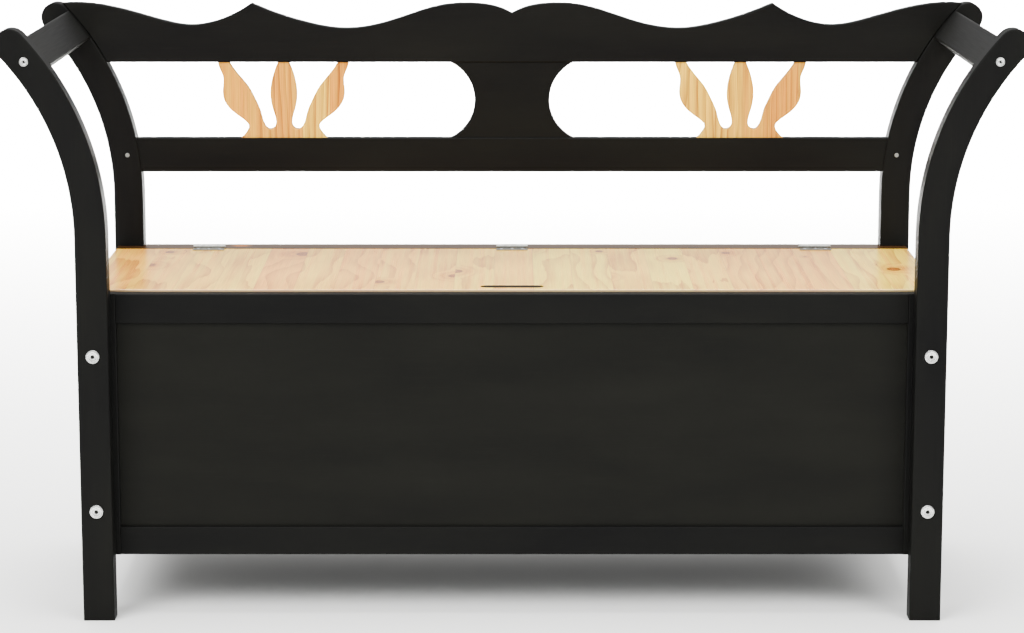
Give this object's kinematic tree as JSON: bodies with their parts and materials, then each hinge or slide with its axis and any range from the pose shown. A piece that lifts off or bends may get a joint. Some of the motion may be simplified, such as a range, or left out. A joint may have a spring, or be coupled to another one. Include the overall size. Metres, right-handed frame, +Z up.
{
  "type": "storage bench",
  "caption": "Storage bench with a hinged seat lid over a panelled box, outswept legs that carry armrests, and a slatted backrest.",
  "frame": {"origin": "on the floor, at the middle of the bench", "axes": "+X along the bench to the right as one looks at its front, +Y to the rear, +Z up"},
  "size_m": [1.26, 0.4248, 0.7433],
  "materials": {
    "black_fir": "black satin paint on fir",
    "natural_fir": "clear satin varnish on edge-glued fir",
    "inner_fir": "plain sanded fir",
    "beech_dowel": "plain beech",
    "zinc_fastener": "bright zinc plate",
    "zinc_hinge": "bright zinc plate"
  },
  "bodies": {
    "frame": {"armrest_left": "black_fir", "armrest_right": "black_fir", "armrest_screws": "zinc_fastener", "back_lower_rail": "black_fir", "barrel_nuts": "zinc_fastener", "bottom_panel": "inner_fir", "centre_splat": "black_fir", "cleat_front": "inner_fir", "cleat_left": "inner_fir", "cleat_rear": "inner_fir", "cleat_right": "inner_fir", "cleat_screws": "zinc_fastener", "corner_dowels": "beech_dowel", "crest_board": "black_fir", "crest_dowels": "beech_dowel", "front_bottom_rail": "black_fir", "front_leg_bolts": "zinc_fastener", "front_leg_left": "black_fir", "front_leg_right": "black_fir", "front_panel": "black_fir", "front_stile_left": "black_fir", "front_stile_right": "black_fir", "front_top_rail": "black_fir", "hinge_leaves_fixed": "zinc_hinge", "hinge_pins": "zinc_hinge", "hinge_rail": "natural_fir", "hinge_rail_dowels": "beech_dowel", "hinge_screws_fixed": "zinc_fastener", "lower_rail_screws": "zinc_fastener", "rear_bottom_rail": "black_fir", "rear_leg_bolts": "zinc_fastener", "rear_leg_left": "black_fir", "rear_leg_right": "black_fir", "rear_panel": "black_fir", "rear_stile_left": "black_fir", "rear_stile_right": "black_fir", "rear_top_rail": "black_fir", "side_bottom_rail_left": "black_fir", "side_bottom_rail_right": "black_fir", "side_front_stile_left": "black_fir", "side_front_stile_right": "black_fir", "side_panel_left": "black_fir", "side_panel_right": "black_fir", "side_rear_stile_left": "black_fir", "side_rear_stile_right": "black_fir", "side_top_rail_left": "black_fir", "side_top_rail_right": "black_fir", "splat_dowels": "beech_dowel", "tulip_left": "natural_fir", "tulip_right": "natural_fir"},
    "lid": {"seat_lid": "natural_fir", "lid_batten_left": "natural_fir", "lid_batten_right": "natural_fir", "hinge_leaves_lid": "zinc_hinge", "hinge_screws_lid": "zinc_fastener", "batten_screws": "zinc_fastener"}
  },
  "joints": [
    {"name": "lid_hinge", "type": "hinge", "parent": "frame", "child": "lid", "pos_m": [0, 0.159, 0.4166], "axis": [-1, 0, 0], "range_deg": [0, 94]}
  ]
}
